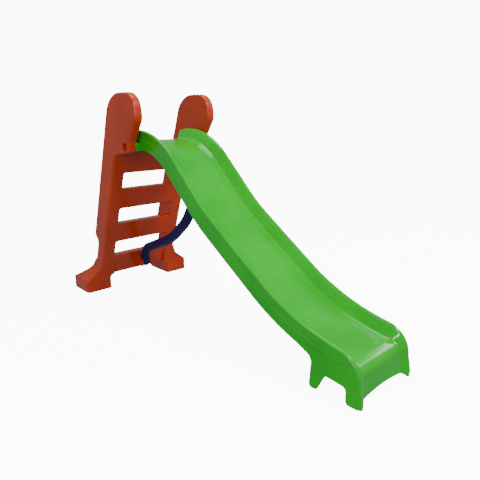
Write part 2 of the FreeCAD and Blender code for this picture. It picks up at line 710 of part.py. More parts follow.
def pivot_bush(stack, side):
    """The flanged plastic sleeve that the bolt turns in."""
    sleeve_radius = BOLT_RADIUS + RUNNING_FIT + BUSH_WALL
    sleeve = cylinder_across(PIVOT_X, PIVOT_Z, sleeve_radius, side * stack["flange_inner"],
                             side * stack["bush_outer"])
    flange = cylinder_across(PIVOT_X, PIVOT_Z, BUSH_FLANGE_RADIUS, side * stack["flange_inner"],
                             side * stack["flange_outer"])
    bore = cylinder_across(PIVOT_X, PIVOT_Z, BOLT_RADIUS + RUNNING_FIT, 0, side * RAIL_OUTER)
    return fused([sleeve, flange]).cut(bore)


def pivot_washer(stack, side):
    """The washer under the bolt head."""
    return ring_across(PIVOT_X, PIVOT_Z, WASHER_RADIUS, BOLT_RADIUS + BOLT_GAP,
                       side * stack["washer_inner"], side * stack["head_inner"])


def backing_washer(stack, side):
    """The wide washer between the nut and the chute."""
    return ring_across(PIVOT_X, PIVOT_Z, BACKING_WASHER_RADIUS, BOLT_RADIUS + BOLT_GAP,
                       side * stack["backing_inner"], side * stack["backing_outer"])


def pivot_nut(stack, side):
    """The lock nut inside the chute."""
    body = hexagon_across(PIVOT_X, PIVOT_Z, NUT_FLATS, side * stack["nut_inner"],
                          side * stack["backing_inner"])
    return body.cut(cylinder_across(PIVOT_X, PIVOT_Z, BOLT_RADIUS + PRESS_GAP, 0, side * EAR_INNER))


# ---------------------------------------------------------------- strut and catch
def strut_stops():
    """The corners of the strut's centre line, from its foot to its head."""
    foot_place = strut_foot()
    head = strut_head()
    return [foot_place, foot_place + in_side_view(*STRUT_KNEE_RUN),
            foot_place + in_side_view(*STRUT_LOW_RUN), head + in_side_view(*STRUT_HIGH_RUN), head]


def strut_path():
    """The strut's centre line, its corners rounded by the bends."""
    stops = strut_stops()
    edges = []
    place = stops[0]
    for i, radius in enumerate(STRUT_BEND_RADII, start=1):
        back = (stops[i - 1] - stops[i]).normalize()
        ahead = (stops[i + 1] - stops[i]).normalize()
        half = back.getAngle(ahead) / 2.0
        reach = radius / math.tan(half)
        towards = (back + ahead).normalize()
        middle = stops[i] + towards * (radius / math.sin(half) - radius)
        edges.append(Part.makeLine(place, stops[i] + back * reach))
        edges.append(Part.Arc(stops[i] + back * reach, middle, stops[i] + ahead * reach).toShape())
        place = stops[i] + ahead * reach
    edges.append(Part.makeLine(place, stops[-1]))
    return Part.Wire(edges)


def strut_form(radius):
    """The bent bar with round ends, as thick as asked."""
    ring = Part.Wire([Part.makeCircle(radius, strut_foot(), in_side_view(*STRUT_KNEE_RUN))])
    bar = strut_path().makePipeShell([ring], True, False)
    ends = [Part.makeSphere(radius, point) for point in (strut_foot(), strut_head())]
    return fused([bar] + ends)


def strut():
    """The hollow strut with its two pin holes."""
    body = strut_form(STRUT_RADIUS)
    hollow = strut_form(STRUT_RADIUS - STRUT_WALL)
    fits = ((strut_foot(), PRESS_GAP), (strut_head(), RUNNING_FIT))
    for place, gap in fits:
        radius = STRUT_PIN_RADIUS + gap + STRUT_PIN_COLLAR
        hollow = hollow.cut(cylinder_across(place.x, place.z, radius, -STRUT_RADIUS, STRUT_RADIUS))
    body = body.cut(hollow)
    for place, gap in fits:
        hole = STRUT_PIN_RADIUS + gap
        body = body.cut(cylinder_across(place.x, place.z, hole, -STRUT_RADIUS, STRUT_RADIUS))
    under = strut_stops()[2] - Vector(0, 0, 1.5 * STRUT_RADIUS)
    return body.cut(Part.makeCylinder(STRUT_VENT_RADIUS, STRUT_RADIUS, under))


def strut_hinge_pin():
    """The plain pin that the strut's head turns on."""
    reach = STRUT_RADIUS + STRUT_SIDE_GAP + LUG_THICKNESS + CLIP_THICKNESS + CLIP_SPAN
    head = strut_head()
    return cylinder_across(head.x, head.z, STRUT_PIN_RADIUS, -reach, reach)


def strut_hinge_clips():
    """The two push-on clips that keep the hinge pin in."""
    inner = STRUT_RADIUS + STRUT_SIDE_GAP + LUG_THICKNESS
    head = strut_head()
    clip = ring_across(head.x, head.z, CLIP_RADIUS, STRUT_PIN_RADIUS + PRESS_GAP,
                       inner, inner + CLIP_THICKNESS)
    return Part.makeCompound(both_sides(clip))


def strut_foot_pin():
    """The cross pin in the strut's foot that hangs in the catch."""
    reach = STRUT_RADIUS + STRUT_SIDE_GAP + CHEEK_THICKNESS + FOOT_PIN_END
    place = strut_foot()
    return cylinder_across(place.x, place.z, STRUT_PIN_RADIUS, -reach, reach)


def up_ladder():
    """The way up the ladder's front face."""
    return Vector(LADDER_LEAN, 0, 1).normalize()


def off_ladder():
    """The way straight out of the ladder's front face."""
    return Vector(1, 0, -LADDER_LEAN).normalize()


def catch_place(out, rise, y=0.0):
    """A point by its distance from the front face and up it from the foot pin."""
    pin = strut_foot()
    on_face = pin - off_ladder() * pin.dot(off_ladder())
    return on_face + off_ladder() * out + up_ladder() * rise + SIDEWAYS * y


def screw_bar(rise, radius, start, end):
    """A round bar square to the ladder's front face at a catch screw."""
    return Part.makeCylinder(radius, end - start, catch_place(start, rise), off_ladder())


def cheek():
    """One cheek of the catch, with the slot that the foot pin hangs in."""
    out = STRUT_FOOT_OUT
    nose = CHEEK_NOSE
    corners = [catch_place(0.0, CATCH_ABOVE), catch_place(out, CHEEK_TOP),
               catch_place(out + nose, CHEEK_TOP - CHEEK_SLANT), catch_place(out + nose, -CHEEK_DROP),
               catch_place(out - nose, -CHEEK_DROP - CHEEK_SLANT), catch_place(0.0, -CATCH_BELOW)]
    inner = STRUT_RADIUS + STRUT_SIDE_GAP
    plate = across(rounded_face(corners, CHEEK_RADII), inner, inner + CHEEK_THICKNESS)
    width = STRUT_PIN_RADIUS + CATCH_SLOT_GAP
    run_out, run_down = SLOT_RUN
    length = math.hypot(run_out, run_down)
    side_out = -run_down / length
    side_up = run_out / length
    mouth = width + SLOT_FLARE
    slot_corners = [catch_place(out - side_out * width, -side_up * width),
                    catch_place(out + side_out * width, side_up * width),
                    catch_place(out + run_out + side_out * mouth, run_down + side_up * mouth),
                    catch_place(out + run_out - side_out * mouth, run_down - side_up * mouth)]
    slot = across(rounded_face(slot_corners, [0.0, 0.0, 0.0, 0.0]), 0, inner + CHEEK_THICKNESS)
    pin = strut_foot()
    top = cylinder_across(pin.x, pin.z, width, 0, inner + CHEEK_THICKNESS)
    return plate.cut(slot).cut(top)


def strut_catch():
    """The catch: a plate on the bottom rung with two slotted cheeks."""
    half = STRUT_RADIUS + STRUT_SIDE_GAP + CHEEK_THICKNESS
    corners = [catch_place(0.0, CATCH_ABOVE), catch_place(CATCH_PLATE, CATCH_ABOVE),
               catch_place(CATCH_PLATE, -CATCH_BELOW), catch_place(0.0, -CATCH_BELOW)]
    plate = across(rounded_face(corners, [0.0, 2.0, 2.0, 0.0]), -half, half)
    body = fused([plate] + both_sides(cheek()))
    for rise in SCREW_RISE:
        body = body.cut(screw_bar(rise, SCREW_RADIUS + BOLT_GAP, -1.0, CATCH_PLATE + 1.0))
    return body


def catch_screws():
    """The screws that hold the catch to the rung."""
    screws = []
    for rise in SCREW_RISE:
        shank = screw_bar(rise, SCREW_RADIUS, CATCH_PLATE - SCREW_LENGTH, CATCH_PLATE)
        head = screw_bar(rise, SCREW_HEAD_RADIUS, CATCH_PLATE, CATCH_PLATE + SCREW_HEAD_HEIGHT)
        screws.append(fused([shank, head]))
    return Part.makeCompound(screws)


# ---------------------------------------------------------------- the whole slide
def build():
    """Every piece of the slide by its node name."""
    nodes = {"chute": chute(), "ladder": ladder(), "strut": strut(), "strut_catch": strut_catch(),
             "catch_screws": catch_screws(), "strut_foot_pin": strut_foot_pin(),
             "strut_hinge_pin": strut_hinge_pin(), "strut_hinge_clips": strut_hinge_clips()}
    stack = pivot_stack()
    fittings = {"pivot_bolt": pivot_bolt, "pivot_bush": pivot_bush, "pivot_washer": pivot_washer,
                "backing_washer": backing_washer, "pivot_nut": pivot_nut}
    for name, make in fittings.items():
        for side_name, side in SIDES.items():
            nodes[name + "_" + side_name] = make(stack, side)
    return nodes


def main():
    """Build, centre and write every piece."""
    os.makedirs("parts", exist_ok=True)
    nodes = build()
    rear = -FOOT_REAR
    front = nodes["chute"].optimalBoundingBox().XMax
    for name, shape in nodes.items():
        shape.translate(Vector(-(rear + front) / 2.0, 0, 0))
        shape.exportStep("parts/" + name + ".step")
        box = shape.BoundBox
        size = [round(v, 1) for v in (box.XLength, box.YLength, box.ZLength)]
        print(name, "valid", shape.isValid(), "solids", len(shape.Solids), "size", size)
    print("shift", -(rear + front) / 2.0)


main()
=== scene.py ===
"""The looks of a child's garden slide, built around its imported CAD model."""

import json
import logging
import math
from collections.abc import Callable, Iterable, Sequence
from dataclasses import dataclass
from enum import Enum

import bmesh
import bpy
from bmesh.types import BMEdge, BMesh, BMFace, BMVert
from mathutils import Matrix, Vector


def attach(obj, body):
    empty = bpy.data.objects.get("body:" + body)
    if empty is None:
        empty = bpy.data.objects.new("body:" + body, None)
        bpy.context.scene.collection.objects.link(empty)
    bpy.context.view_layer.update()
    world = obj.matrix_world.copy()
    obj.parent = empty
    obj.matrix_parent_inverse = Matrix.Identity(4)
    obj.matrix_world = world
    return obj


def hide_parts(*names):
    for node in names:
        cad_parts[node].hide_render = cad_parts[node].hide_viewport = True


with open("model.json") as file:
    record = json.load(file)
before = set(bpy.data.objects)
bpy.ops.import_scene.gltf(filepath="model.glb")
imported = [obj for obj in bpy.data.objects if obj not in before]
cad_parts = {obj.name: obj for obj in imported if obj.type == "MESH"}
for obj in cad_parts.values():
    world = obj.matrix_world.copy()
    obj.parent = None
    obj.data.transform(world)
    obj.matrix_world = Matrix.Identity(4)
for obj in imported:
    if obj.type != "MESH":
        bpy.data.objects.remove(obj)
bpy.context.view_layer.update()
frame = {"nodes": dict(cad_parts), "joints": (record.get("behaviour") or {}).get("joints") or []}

LOG = logging.getLogger("slide")
MM = 0.001
SIDEWAYS = Vector((0.0, 1.0, 0.0))
FOLD_PIVOT = Vector((318.0, 0.0, 704.0))
STRUT_HEAD = Vector((555.033, 0.0, 564.943))
CHUTE_START = Vector((250.0, 0.0, 733.0))
CHUTE_START_SLOPE = 12.0
SEAM_GAP = 0.3                     # flat faces that would share a plane stay this far apart before a join


class Body(Enum):
    """The bodies that a piece can ride on."""

    CHUTE = "chute"
    LADDER = "ladder"
    STRUT = "strut"


class Slot(Enum):
    """The record's material slots."""

    GREEN = "green_plastic"
    ORANGE = "orange_plastic"
    NAVY = "navy_plastic"
    BLACK = "black_plastic"
    ZINC = "zinc_steel"


# ------------------------------------------------------------------ modelling
def at(x: float, z: float, y: float = 0.0) -> Vector:
    """A point from its place in the side view, in millimetres."""
    return Vector((x, y, z))


def direction(slope: float) -> Vector:
    """The way along the chute at a slope in degrees."""
    return Vector((math.cos(math.radians(slope)), 0.0, math.sin(math.radians(slope))))


def upwards(slope: float) -> Vector:
    """The way square to the chute at a slope, away from the ground."""
    return Vector((-math.sin(math.radians(slope)), 0.0, math.cos(math.radians(slope))))


class Form:
    """A solid on the bench, in millimetres, with x = 0 at the ladder's front foot line."""

    def __init__(self) -> None:
        """Start with an empty mesh."""
        self.mesh: BMesh = bmesh.new()

    def outline(self, corners: Sequence[Vector], radii: Sequence[float], steps: int = 6) -> BMFace:
        """Draw a flat outline with rounded corners.

        Args:
            corners: The corners in order.
            radii: The rounding of each corner, 0 for a sharp one.
            steps: How many edges each rounding has.

        Returns:
            The flat face.
        """
        verts = [self.mesh.verts.new(corner) for corner in corners]
        self.mesh.faces.new(verts)
        for index, radius in enumerate(radii):
            if radius <= 0.0:
                continue
            here = corners[index]
            ahead = corners[(index + 1) % len(corners)]
            half = (corners[index - 1] - here).angle(ahead - here) / 2.0
            bmesh.ops.bevel(self.mesh, geom=[verts[index]], offset=radius / math.tan(half),
                            affect="VERTICES", segments=steps, profile=0.5, material=-1)
        self.mesh.faces.ensure_lookup_table()
        return self.mesh.faces[0]

    def pull(self, face: BMFace, way: Vector) -> "Form":
        """Pull a flat face into a closed solid.

        Args:
            face: The face to pull.
            way: How far and where to.

        Returns:
            This form.
        """
        pulled = bmesh.ops.extrude_face_region(self.mesh, geom=[face], use_keep_orig=True)
        moved = [item for item in pulled["geom"] if isinstance(item, BMVert)]
        bmesh.ops.translate(self.mesh, verts=moved, vec=way)
        bmesh.ops.recalc_face_normals(self.mesh, faces=self.mesh.faces[:])
        return self

    def soften(self, width: float, steps: int = 3, over: float = 40.0,
               where: Callable[[BMEdge], bool] | None = None, clamp: bool = False) -> "Form":
        """Round the sharp edges.

        Args:
            width: Width of the rounding.
            steps: How many faces it has.
            over: Only edges that turn by more than this, in degrees.
            where: A further test that an edge has to pass.
            clamp: Hold the width back where edges are short.

        Returns:
            This form.
        """
        sharp = [edge for edge in self.mesh.edges if edge.is_manifold
                 and math.degrees(edge.calc_face_angle(0.0)) > over
                 and (where is None or where(edge))]
        bmesh.ops.bevel(self.mesh, geom=sharp, offset=width, offset_type="OFFSET", affect="EDGES",
                        segments=steps, profile=0.5, material=-1, clamp_overlap=clamp)
        return self

    def mirrored(self) -> "Form":
        """The same form on the other side of the slide."""
        twin = Form()
        twin.mesh = self.mesh.copy()
        bmesh.ops.transform(twin.mesh, matrix=Matrix.Scale(-1.0, 4, SIDEWAYS), verts=twin.mesh.verts[:])
        bmesh.ops.reverse_faces(twin.mesh, faces=twin.mesh.faces[:])
        return twin

    def on_bench(self) -> bpy.types.Object:
        """A passing object that holds the form, for a cut or a join."""
        data = bpy.data.meshes.new("bench")
        self.mesh.to_mesh(data)
        thing = bpy.data.objects.new("bench", data)
        bpy.context.scene.collection.objects.link(thing)
        return thing

    def worked(self, tools: Iterable["Form"], how: str, own_crossings: bool = False) -> "Form":
        """Join other forms to this one, or cut them out of it.

        Args:
            tools: The other forms.
            how: UNION, DIFFERENCE or INTERSECT.
            own_crossings: Also resolve where one of the forms crosses itself.

        Returns:
            The new form.
        """
        stock = self.on_bench()
        things = [tool.on_bench() for tool in tools]
        for thing in things:
            step = stock.modifiers.new("step", "BOOLEAN")
            step.operation = how
            step.solver = "EXACT"
            step.use_self = own_crossings
            step.object = thing
        bpy.context.view_layer.update()
        made = bpy.data.meshes.new_from_object(stock.evaluated_get(bpy.context.evaluated_depsgraph_get()))
        result = Form()
        result.mesh.from_mesh(made)
        bmesh.ops.remove_doubles(result.mesh, verts=result.mesh.verts[:], dist=0.01)
        for thing in [stock, *things]:
            data = thing.data
            bpy.data.objects.remove(thing)
            bpy.data.meshes.remove(data)
        bpy.data.meshes.remove(made)
        return result

    def joined(self, *others: "Form") -> "Form":
        """This form and the others as one solid."""
        return self.worked(others, "UNION")

    def cut(self, *others: "Form") -> "Form":
        """This form without the others."""
        return self.worked(others, "DIFFERENCE")

    def shared(self, *others: "Form") -> "Form":
        """What this form and all the others have in common."""
        return self.worked(others, "INTERSECT")

    def settled(self, name: str, crease: float = 32.0) -> bpy.types.Object:
        """Place the form in the slide's own frame, in metres.

        Args:
            name: The piece's name.
            crease: Edges that turn by more than this stay crisp, in degrees.

        Returns:
            The finished object, at the origin.
        """
        joint = next(j for j in frame["joints"] if j["name"] == "ladder_fold")
        shift = Vector(joint["pos_m"]) - FOLD_PIVOT * MM
        place = Matrix.Translation(shift) @ Matrix.Scale(MM, 4)
        bmesh.ops.transform(self.mesh, matrix=place, verts=self.mesh.verts[:])
        for face in self.mesh.faces:
            face.smooth = True
        for edge in self.mesh.edges:
            edge.smooth = math.degrees(edge.calc_face_angle(0.0)) < crease
        data = bpy.data.meshes.new(name)
        self.mesh.to_mesh(data)
        self.mesh.free()
        piece = bpy.data.objects.new(name, data)
        bpy.context.scene.collection.objects.link(piece)
        even = piece.modifiers.new("even_shading", "WEIGHTED_NORMAL")
        even.keep_sharp = True
        even.weight = 80
        return piece


def plate(corners: Sequence[Vector], radii: Sequence[float], way: Vector, steps: int = 6) -> Form:
    """A solid plate from a rounded outline.

    Args:
        corners: The outline's corners.
        radii: The rounding of each corner.
        way: The plate's thickness as a vector.
        steps: How many edges each rounding has.

    Returns:
        The plate.
    """
    form = Form()
    return form.pull(form.outline(corners, radii, steps), way)


def across(place: Vector, radius: float, inner: float, outer: float, steps: int = 48) -> Form:
    """A round bar that lies across the slide.

    Args:
        place: Its middle in the side view.
        radius: Its radius.
        inner: Where it starts along Y.
        outer: Where it ends along Y.
        steps: How many sides it has.

    Returns:
        The bar.
    """
    form = Form()
    turn = Matrix.Rotation(math.radians(90.0), 4, "X")
    middle = Matrix.Translation(place + SIDEWAYS * (inner + outer) / 2.0)
    bmesh.ops.create_cone(form.mesh, cap_ends=True, segments=steps, radius1=radius, radius2=radius,
                          depth=abs(outer - inner), matrix=middle @ turn)
    return form


def swept(corners: Sequence[Vector], radii: Sequence[float], runs: Sequence["Run"], steps: int = 6,
          trim: Callable[[Vector], Vector] | None = None) -> Form:
    """Carry a rounded outline along straight runs and bends.

    Args:
        corners: The outline's corners at the start of the first run.
        radii: The rounding of each corner.
        runs: The runs in order.
        steps: How many edges each rounding has.
        trim: Where each point of the far end moves to.

    Returns:
        The closed solid.
    """
    form = Form()
    face = form.outline(corners, radii, steps)
    first = face.edges[:]
    bmesh.ops.delete(form.mesh, geom=[face], context="FACES_ONLY")
    last = first
    for run in runs:
        if run.bent:
            turn = math.radians(run.slope - run.end_slope)
            made = bmesh.ops.spin(form.mesh, geom=last + list({v for e in last for v in e.verts}),
                                  cent=run.centre, axis=SIDEWAYS, angle=turn,
                                  steps=run.steps, use_merge=False, use_duplicate=False)
            last = [item for item in made["geom_last"] if isinstance(item, BMEdge)]
            continue
        for _ in range(run.steps):
            made = bmesh.ops.extrude_edge_only(form.mesh, edges=last)
            moved = [item for item in made["geom"] if isinstance(item, BMVert)]
            bmesh.ops.translate(form.mesh, verts=moved, vec=run.way / run.steps)
            ends = set(moved)
            last = [item for item in made["geom"] if isinstance(item, BMEdge)
                    and item.verts[0] in ends and item.verts[1] in ends]
    if trim is not None:
        for vert in {vert for edge in last for vert in edge.verts}:
            vert.co = trim(vert.co)
    for loop in (first, last):
        bmesh.ops.triangle_fill(form.mesh, use_beauty=True, edges=loop)
    bmesh.ops.recalc_face_normals(form.mesh, faces=form.mesh.faces[:])
    return form


@dataclass(frozen=True)
class Run:
    """One run of a sweep in the side view, straight or bent."""

    start: Vector
    slope: float
    end_slope: float
    size: float
    steps: int

    @property
    def bent(self) -> bool:
        """True for a bend, whose size is its radius."""
        return self.end_slope != self.slope

    @property
    def centre(self) -> Vector:
        """The middle of a bend."""
        turn = 1.0 if self.end_slope > self.slope else -1.0
        return self.start + upwards(self.slope) * self.size * turn

    @property
    def way(self) -> Vector:
        """A straight run as a vector."""
        return direction(self.slope) * self.size

    @property
    def end(self) -> Vector:
        """Where the run ends."""
        if not self.bent:
            return self.start + self.way
        turn = 1.0 if self.end_slope > self.slope else -1.0
        return self.centre - upwards(self.end_slope) * self.size * turn


# ------------------------------------------------------------------ finishes
class NodeBoard:
    """A short way to lay out a material's nodes."""

    def __init__(self, name: str) -> None:
        """Start a material with its own surface shader."""
        self.material = bpy.data.materials.new(name)
        self.material.use_nodes = True
        self.tree = self.material.node_tree
        self.shader = next(n for n in self.tree.nodes if n.type == "BSDF_PRINCIPLED")
        self.coordinates = self.tree.nodes.new("ShaderNodeTexCoord").outputs["Object"]

    def wire(self, source: bpy.types.NodeSocket, target: bpy.types.NodeSocket) -> None:
        """Join two sockets."""
        self.tree.links.new(source, target)

    def stretched(self, scale: Sequence[float],
                  turn: Sequence[float] = (0.0, 0.0, 0.0)) -> bpy.types.NodeSocket:
        """Object coordinates, stretched and turned.

        Args:
            scale: The stretch along each axis.
            turn: The turn about each axis, in degrees.

        Returns:
            The socket with the coordinates.
        """
        node = self.tree.nodes.new("ShaderNodeMapping")
        node.inputs["Scale"].default_value = scale
        node.inputs["Rotation"].default_value = [math.radians(angle) for angle in turn]
        self.wire(self.coordinates, node.inputs["Vector"])
        return node.outputs["Vector"]

    def noise(self, scale: float, detail: float = 3.0, rough: float = 0.5,
              where: bpy.types.NodeSocket | None = None) -> bpy.types.NodeSocket:
        """A cloudy pattern.

        Args:
            scale: How fine it is.
            detail: How many finer layers it has.
            rough: How strong the finer layers are.
            where: The coordinates, or the object's own.

        Returns:
            The socket with its value.
        """
        node = self.tree.nodes.new("ShaderNodeTexNoise")
        node.inputs["Scale"].default_value = scale
        node.inputs["Detail"].default_value = detail
        node.inputs["Roughness"].default_value = rough
        self.wire(where or self.coordinates, node.inputs["Vector"])
        return node.outputs["Fac"]

    def ramp(self, value: bpy.types.NodeSocket, low: float, high: float,
             to_low: float, to_high: float) -> bpy.types.NodeSocket:
        """A value moved smoothly from one range to another.

        Args:
            value: The value.
            low: Its lower end.
            high: Its upper end.
            to_low: What the lower end becomes.
            to_high: What the upper end becomes.

        Returns:
            The socket with the new value.
        """
        node = self.tree.nodes.new("ShaderNodeMapRange")
        node.interpolation_type = "SMOOTHSTEP"
        for name, number in (("From Min", low), ("From Max", high), ("To Min", to_low), ("To Max", to_high)):
            node.inputs[name].default_value = number
        self.wire(value, node.inputs["Value"])
        return node.outputs["Result"]

    def blend(self, share: bpy.types.NodeSocket, first: Sequence[float] | bpy.types.NodeSocket,
              second: Sequence[float] | bpy.types.NodeSocket) -> bpy.types.NodeSocket:
        """Two colours mixed by a share.

        Args:
            share: How much of the second colour.
            first: The first colour.
            second: The second colour.

        Returns:
            The socket with the mixed colour.
        """
        node = self.tree.nodes.new("ShaderNodeMix")
        node.data_type = "RGBA"
        self.wire(share, node.inputs[0])
        for socket, colour in ((node.inputs[6], first), (node.inputs[7], second)):
            if isinstance(colour, bpy.types.NodeSocket):
                self.wire(colour, socket)
            else:
                socket.default_value = (*colour, 1.0)
        return node.outputs[2]

    def bump(self, height: bpy.types.NodeSocket, strength: float, depth: float,
             under: bpy.types.NodeSocket | None = None) -> bpy.types.NodeSocket:
        """A relief from a height.

        Args:
            height: The height, from 0 to 1.
            strength: How much of the relief shows.
            depth: Its depth in metres.
            under: A relief that this one lies on.

        Returns:
            The socket with the new surface direction.
        """
        node = self.tree.nodes.new("ShaderNodeBump")
        node.inputs["Strength"].default_value = strength
        node.inputs["Distance"].default_value = depth
        self.wire(height, node.inputs["Height"])
        if under is not None:
            self.wire(under, node.inputs["Normal"])
        return node.outputs["Normal"]


@dataclass(frozen=True)
class MouldedPlastic:
    """Coloured polyethylene with an orange-peel skin, cloudy pigment, scuffs and worn spots."""

    name: str
    colour: tuple[float, float, float]
    cloud: tuple[float, float, float]
    scuff: tuple[float, float, float]
    gloss: tuple[float, float]
    coat: float
    scuff_way: tuple[float, float, float] = (6.0, 60.0, 6.0)
    scuff_turn: float = 0.0
    peel: float = 0.12

    def material(self) -> bpy.types.Material:
        """Lay out the finish."""
        board = NodeBoard(self.name)
        shader = board.shader
        clouds = board.ramp(board.noise(5.0, 4.0), 0.35, 0.68, 0.0, 1.0)
        mottle = board.ramp(board.noise(42.0, 5.0, 0.6), 0.38, 0.7, 0.0, 0.35)
        base = board.blend(mottle, board.blend(clouds, self.colour, self.cloud), self.cloud)
        streaks = board.noise(9.0, 6.0, 0.62, board.stretched(self.scuff_way, (0.0, self.scuff_turn, 0.0)))
        scuffs = board.ramp(streaks, 0.6, 0.74, 0.0, 0.3)
        board.wire(board.blend(scuffs, base, self.scuff), shader.inputs["Base Color"])
        patches = board.noise(14.0, 4.0, 0.55)
        board.wire(board.ramp(patches, 0.3, 0.75, *self.gloss), shader.inputs["Roughness"])
        peel = board.bump(board.noise(420.0, 2.0), self.peel, 0.0006)
        sag = board.bump(board.noise(7.0, 1.0), 0.35, 0.0022, peel)
        board.wire(board.bump(streaks, 0.05, 0.0004, sag), shader.inputs["Normal"])
        shader.inputs["Specular IOR Level"].default_value = 0.42
        shader.inputs["Coat Weight"].default_value = self.coat
        shader.inputs["Coat Roughness"].default_value = 0.12
        return board.material


@dataclass(frozen=True)
class StrutPlastic:
    """Navy polyethylene with the shallow slanting ridges of its mould."""

    name: str
    colour: tuple[float, float, float]
    cloud: tuple[float, float, float]

    def material(self) -> bpy.types.Material:
        """Lay out the finish."""
        board = NodeBoard(self.name)
        shader = board.shader
        clouds = board.ramp(board.noise(16.0, 4.0), 0.35, 0.7, 0.0, 1.0)
        board.wire(board.blend(clouds, self.colour, self.cloud), shader.inputs["Base Color"])
        board.wire(board.ramp(board.noise(30.0, 3.0), 0.3, 0.7, 0.34, 0.5), shader.inputs["Roughness"])
        wave = board.tree.nodes.new("ShaderNodeTexWave")
        wave.bands_direction = "X"
        wave.inputs["Scale"].default_value = 34.0
        wave.inputs["Distortion"].default_value = 0.6
        board.wire(board.stretched((1.0, 1.0, 1.0), (0.0, 20.0, 0.0)), wave.inputs["Vector"])
        peel = board.bump(board.noise(380.0, 2.0), 0.12, 0.0006)
        board.wire(board.bump(wave.outputs["Fac"], 0.3, 0.0012, peel), shader.inputs["Normal"])
        shader.inputs["Specular IOR Level"].default_value = 0.3
        return board.material


@dataclass(frozen=True)
class ZincSteel:
    """Zinc plated steel with a faint spangle and handling marks."""

    name: str
    colour: tuple[float, float, float]
    dull: tuple[float, float, float]

    def material(self) -> bpy.types.Material:
        """Lay out the finish."""
        board = NodeBoard(self.name)
        shader = board.shader
        spangle = board.tree.nodes.new("ShaderNodeTexVoronoi")
        spangle.inputs["Scale"].default_value = 420.0
        board.wire(board.coordinates, spangle.inputs["Vector"])
        tone = board.ramp(spangle.outputs["Distance"], 0.1, 0.8, 0.0, 1.0)
        board.wire(board.blend(tone, self.colour, self.dull), shader.inputs["Base Color"])
        board.wire(board.ramp(board.noise(160.0, 4.0), 0.3, 0.7, 0.24, 0.46), shader.inputs["Roughness"])
        board.wire(board.bump(board.noise(900.0, 2.0), 0.15, 0.0002), shader.inputs["Normal"])
        shader.inputs["Metallic"].default_value = 1.0
        return board.material


@dataclass(frozen=True)
class BlackNylon:
    """Plain moulded nylon with a fine grain."""

    name: str
    colour: tuple[float, float, float]
    worn: tuple[float, float, float]

    def material(self) -> bpy.types.Material:
        """Lay out the finish."""
        board = NodeBoard(self.name)
        shader = board.shader
        wear = board.ramp(board.noise(120.0, 4.0), 0.45, 0.75, 0.0, 1.0)
        board.wire(board.blend(wear, self.colour, self.worn), shader.inputs["Base Color"])
        board.wire(board.ramp(board.noise(200.0, 3.0), 0.3, 0.7, 0.4, 0.6), shader.inputs["Roughness"])
        board.wire(board.bump(board.noise(1500.0, 2.0), 0.2, 0.0002), shader.inputs["Normal"])
        return board.material


@dataclass(frozen=True)
class StudioPaper:
    """The pale backdrop paper of the floor."""

    name: str
    colour: tuple[float, float, float]
    fibre: tuple[float, float, float]

    def material(self) -> bpy.types.Material:
        """Lay out the finish."""
        board = NodeBoard(self.name)
        shader = board.shader
        fibres = board.ramp(board.noise(60.0, 5.0), 0.3, 0.7, 0.0, 1.0)
        board.wire(board.blend(fibres, self.colour, self.fibre), shader.inputs["Base Color"])
        shader.inputs["Roughness"].default_value = 0.9
        shader.inputs["Specular IOR Level"].default_value = 0.1
        shader.inputs["Emission Color"].default_value = (1.0, 1.0, 1.0, 1.0)
        shader.inputs["Emission Strength"].default_value = 10.0
        return board.material


def dress(piece: bpy.types.Object, finish: bpy.types.Material) -> None:
    """Give every slot of a piece the same finish."""
    piece.data.materials.clear()
    piece.data.materials.append(finish)


def seat(piece: bpy.types.Object, finish: bpy.types.Material, body: Body, slot: Slot, *nodes: str) -> None:
    """Dress a new piece and let it ride on its body in place of its CAD nodes.

    Args:
        piece: The finished piece.
        finish: Its material.
        body: The body that it rides on.
        slot: The record's slot for its finish; not used.
        nodes: The CAD nodes that it stands for.
    """
    dress(piece, finish)
    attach(piece, body.value)
    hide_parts(*nodes)
    LOG.info("%s: %d faces on body %s", piece.name, len(piece.data.polygons), body.value)


